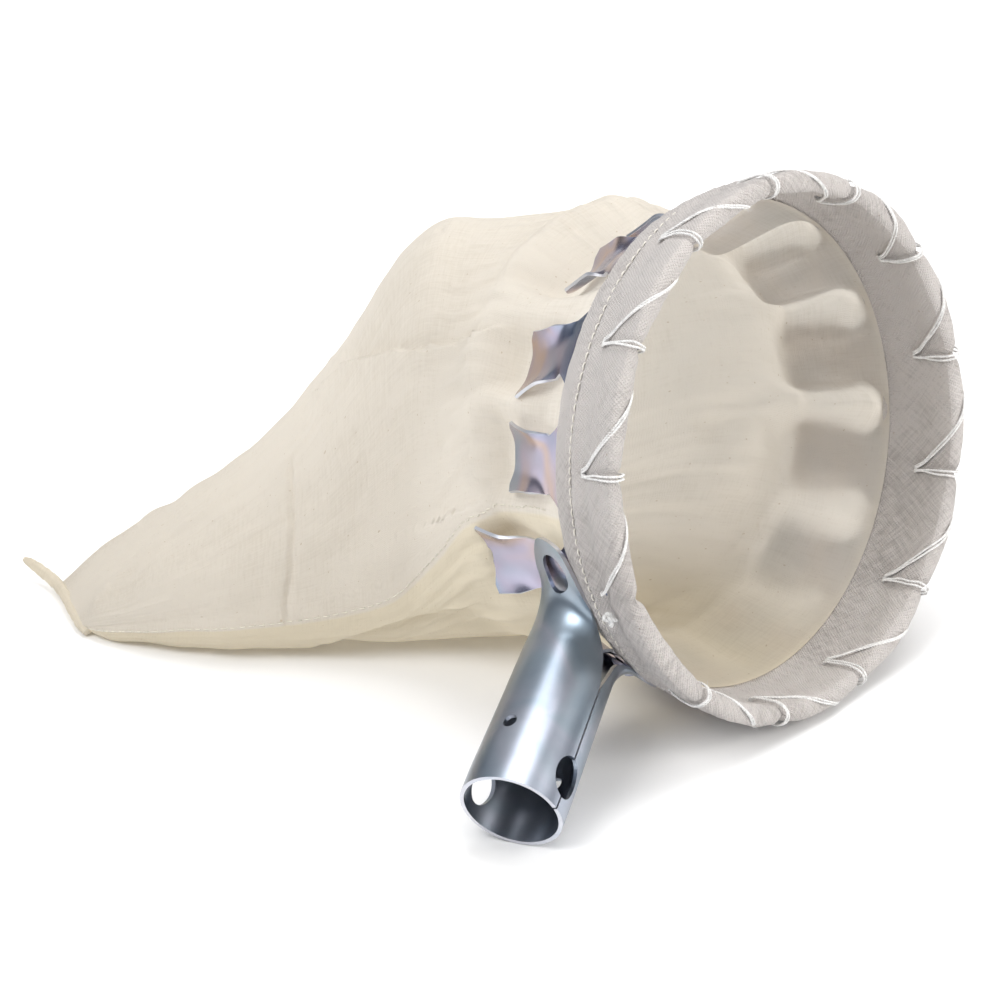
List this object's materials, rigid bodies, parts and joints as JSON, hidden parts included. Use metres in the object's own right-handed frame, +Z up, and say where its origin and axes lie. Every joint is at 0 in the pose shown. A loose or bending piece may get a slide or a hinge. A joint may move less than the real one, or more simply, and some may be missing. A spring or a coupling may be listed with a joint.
{
  "type": "fruit picker basket",
  "caption": "Fruit picker basket: steel crown of curled fingers on a short pole socket, with a laced cotton bag trailing behind the open mouth.",
  "frame": {"origin": "middle of the bounding box in plan, on the plane the basket rests on", "axes": "+Z up; +X from the bag's closed end to the crown's mouth; the pole socket points towards -Y"},
  "size_m": [0.2912, 0.1944, 0.1607],
  "materials": {
    "crown_zinc": "zinc plated with a faint rainbow tint",
    "socket_zinc": "zinc plated with a faint rainbow tint",
    "hem_muslin": "plain weave unbleached cotton",
    "bag_muslin": "plain weave unbleached cotton",
    "cotton_twine": "white twisted cotton"
  },
  "bodies": {
    "picker": {"crown_ring": "crown_zinc", "pole_socket": "socket_zinc", "bag_hem": "hem_muslin", "hem_stitch_thread": "cotton_twine", "lacing_twine": "cotton_twine", "lacing_knot": "cotton_twine", "bag_neck": "bag_muslin"},
    "bag": {"bag_upper_panel": "bag_muslin", "bag_lower_panel": "bag_muslin", "seam_stitch_thread": "cotton_twine"}
  },
  "joints": [
    {"name": "bag_swing", "type": "hinge", "parent": "picker", "child": "bag", "pos_m": [0.06667, 0.01997, 0.07431], "axis": [0, 0, 1], "range_deg": [-20, 12]}
  ]
}
